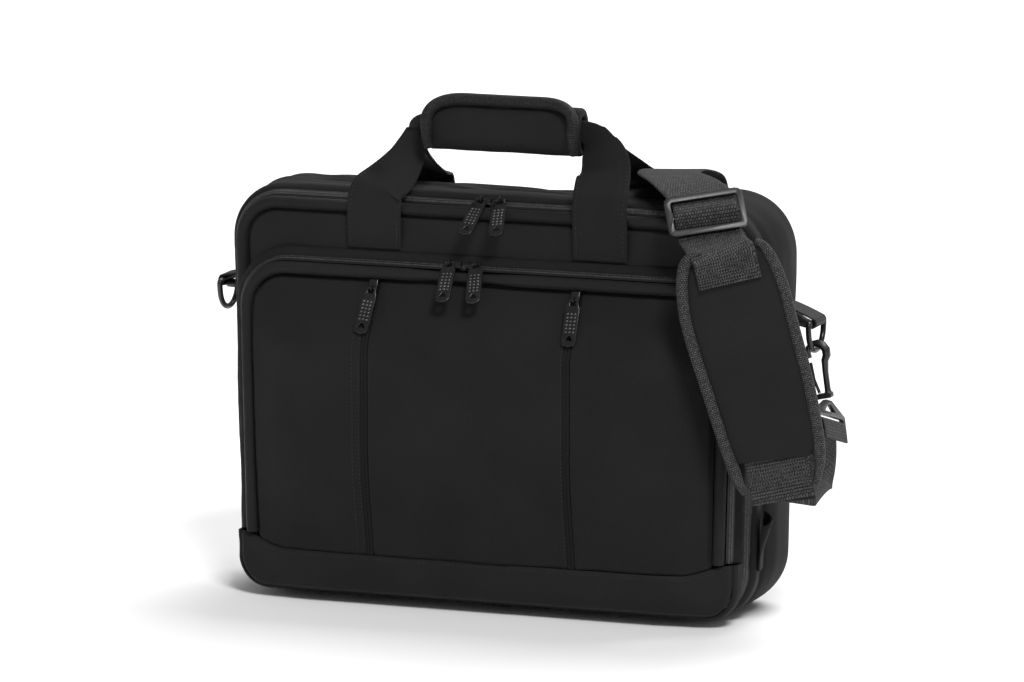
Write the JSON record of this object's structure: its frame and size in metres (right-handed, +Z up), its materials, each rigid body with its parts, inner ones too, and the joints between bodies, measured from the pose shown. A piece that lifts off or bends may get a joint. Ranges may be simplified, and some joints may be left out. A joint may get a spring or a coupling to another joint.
{
  "type": "convertible backpack",
  "caption": "Black soft laptop bag carried as a case or on the back: padded top handle, zipped front pocket, detachable padded shoulder strap on swivel hooks",
  "frame": {"origin": "on the flat underside of the main compartment, under the middle of the body's width and near the middle of its depth", "axes": "+Z up, the front pocket faces -Y, +X to the right as the front is seen, along the bag's width"},
  "size_m": [0.5302, 0.2389, 0.3945],
  "materials": {
    "back_panel": "matt coated cloth",
    "dring_left": "satin dark metal",
    "dring_right": "satin dark metal",
    "dring_tab_left": "ribbed woven webbing",
    "dring_tab_right": "ribbed woven webbing",
    "grip_binding": "ribbed woven binding",
    "handle_front_strap": "smooth woven strap",
    "handle_grip": "matt coated cloth",
    "handle_rear_strap": "smooth woven strap",
    "hook_base_right": "glossy dark moulded plastic",
    "hook_frame_right": "glossy dark moulded plastic",
    "hook_gate_right": "satin dark metal",
    "hook_left": "glossy dark moulded plastic",
    "main_front_panel": "matt coated cloth",
    "main_front_roll": "matt coated cloth",
    "main_gusset": "matt coated cloth",
    "main_left_pull": "satin dark metal",
    "main_left_slider": "satin dark metal",
    "main_right_pull": "satin dark metal",
    "main_right_slider": "satin dark metal",
    "main_zip": "woven zip tape with a plastic coil",
    "pad_binding_left": "ribbed woven binding",
    "pad_binding_right": "ribbed woven binding",
    "placket_left_pull": "satin dark metal",
    "placket_left_slider": "satin dark metal",
    "placket_right_pull": "satin dark metal",
    "placket_right_slider": "satin dark metal",
    "pocket_base_band": "matt coated cloth",
    "pocket_base_gusset": "matt coated cloth",
    "pocket_left_panel": "matt coated cloth",
    "pocket_left_pull": "satin dark metal",
    "pocket_left_slider": "satin dark metal",
    "pocket_middle_panel": "matt coated cloth",
    "pocket_right_panel": "matt coated cloth",
    "pocket_right_pull": "satin dark metal",
    "pocket_right_slider": "satin dark metal",
    "pocket_roll": "matt coated cloth",
    "pocket_strip": "matt coated cloth",
    "pocket_zip": "woven zip tape with a plastic coil",
    "rear_gusset": "matt coated cloth",
    "shoulder_pad": "matt coated cloth",
    "side_slip_pocket": "matt coated cloth",
    "strap_long": "ribbed woven webbing",
    "strap_short": "ribbed woven webbing",
    "tri_glide": "glossy dark moulded plastic",
    "vertical_zip_left": "woven zip tape with a plastic coil",
    "vertical_zip_right": "woven zip tape with a plastic coil"
  },
  "bodies": {
    "bag": {"back_panel": "back_panel", "dring_left": "dring_left", "dring_right": "dring_right", "dring_tab_left": "dring_tab_left", "dring_tab_right": "dring_tab_right", "grip_binding": "grip_binding", "handle_front_strap": "handle_front_strap", "handle_grip": "handle_grip", "handle_rear_strap": "handle_rear_strap", "hook_base_right": "hook_base_right", "hook_frame_right": "hook_frame_right", "hook_left": "hook_left", "main_front_panel": "main_front_panel", "main_front_roll": "main_front_roll", "main_gusset": "main_gusset", "main_left_slider": "main_left_slider", "main_right_slider": "main_right_slider", "main_zip": "main_zip", "pad_binding_left": "pad_binding_left", "pad_binding_right": "pad_binding_right", "placket_left_slider": "placket_left_slider", "placket_right_slider": "placket_right_slider", "pocket_base_band": "pocket_base_band", "pocket_base_gusset": "pocket_base_gusset", "pocket_left_panel": "pocket_left_panel", "pocket_left_slider": "pocket_left_slider", "pocket_middle_panel": "pocket_middle_panel", "pocket_right_panel": "pocket_right_panel", "pocket_right_slider": "pocket_right_slider", "pocket_roll": "pocket_roll", "pocket_strip": "pocket_strip", "pocket_zip": "pocket_zip", "rear_gusset": "rear_gusset", "shoulder_pad": "shoulder_pad", "side_slip_pocket": "side_slip_pocket", "strap_long": "strap_long", "strap_short": "strap_short", "tri_glide": "tri_glide", "vertical_zip_left": "vertical_zip_left", "vertical_zip_right": "vertical_zip_right"},
    "main_left_pull": {"main_left_pull": "main_left_pull"},
    "main_right_pull": {"main_right_pull": "main_right_pull"},
    "pocket_left_pull": {"pocket_left_pull": "pocket_left_pull"},
    "pocket_right_pull": {"pocket_right_pull": "pocket_right_pull"},
    "placket_left_pull": {"placket_left_pull": "placket_left_pull"},
    "placket_right_pull": {"placket_right_pull": "placket_right_pull"},
    "hook_gate_right": {"hook_gate_right": "hook_gate_right"}
  },
  "joints": [
    {"name": "main_left_pull_hinge", "type": "hinge", "parent": "bag", "child": "main_left_pull", "pos_m": [-0.0076, -0.02728, 0.31669], "axis": [-0.9945, 0.0812, 0.0658], "range_deg": [0, 100]},
    {"name": "main_right_pull_hinge", "type": "hinge", "parent": "bag", "child": "main_right_pull", "pos_m": [0.0075, -0.02728, 0.31669], "axis": [-0.9833, -0.1416, -0.1147], "range_deg": [0, 100]},
    {"name": "pocket_left_pull_hinge", "type": "hinge", "parent": "bag", "child": "pocket_left_pull", "pos_m": [-0.0254, -0.04815, 0.27017], "axis": [-0.9976, -0.0485, -0.0502], "range_deg": [0, 100]},
    {"name": "pocket_right_pull_hinge", "type": "hinge", "parent": "bag", "child": "pocket_right_pull", "pos_m": [-0.0042, -0.04815, 0.27017], "axis": [-0.9848, -0.1206, -0.1249], "range_deg": [0, 100]},
    {"name": "placket_left_pull_hinge", "type": "hinge", "parent": "bag", "child": "placket_left_pull", "pos_m": [-0.085, -0.05907, 0.24879], "axis": [-0.9945, 0.0458, 0.094], "range_deg": [0, 100]},
    {"name": "placket_right_pull_hinge", "type": "hinge", "parent": "bag", "child": "placket_right_pull", "pos_m": [0.0785, -0.05907, 0.24879], "axis": [-0.9997, -0.0115, -0.0235], "range_deg": [0, 100]},
    {"name": "hook_gate_hinge", "type": "hinge", "parent": "bag", "child": "hook_gate_right", "pos_m": [0.24183, 0.04129, 0.17048], "axis": [0, 1, 0], "range_deg": [0, 14], "stiffness_Nm_per_rad": 0.02}
  ]
}
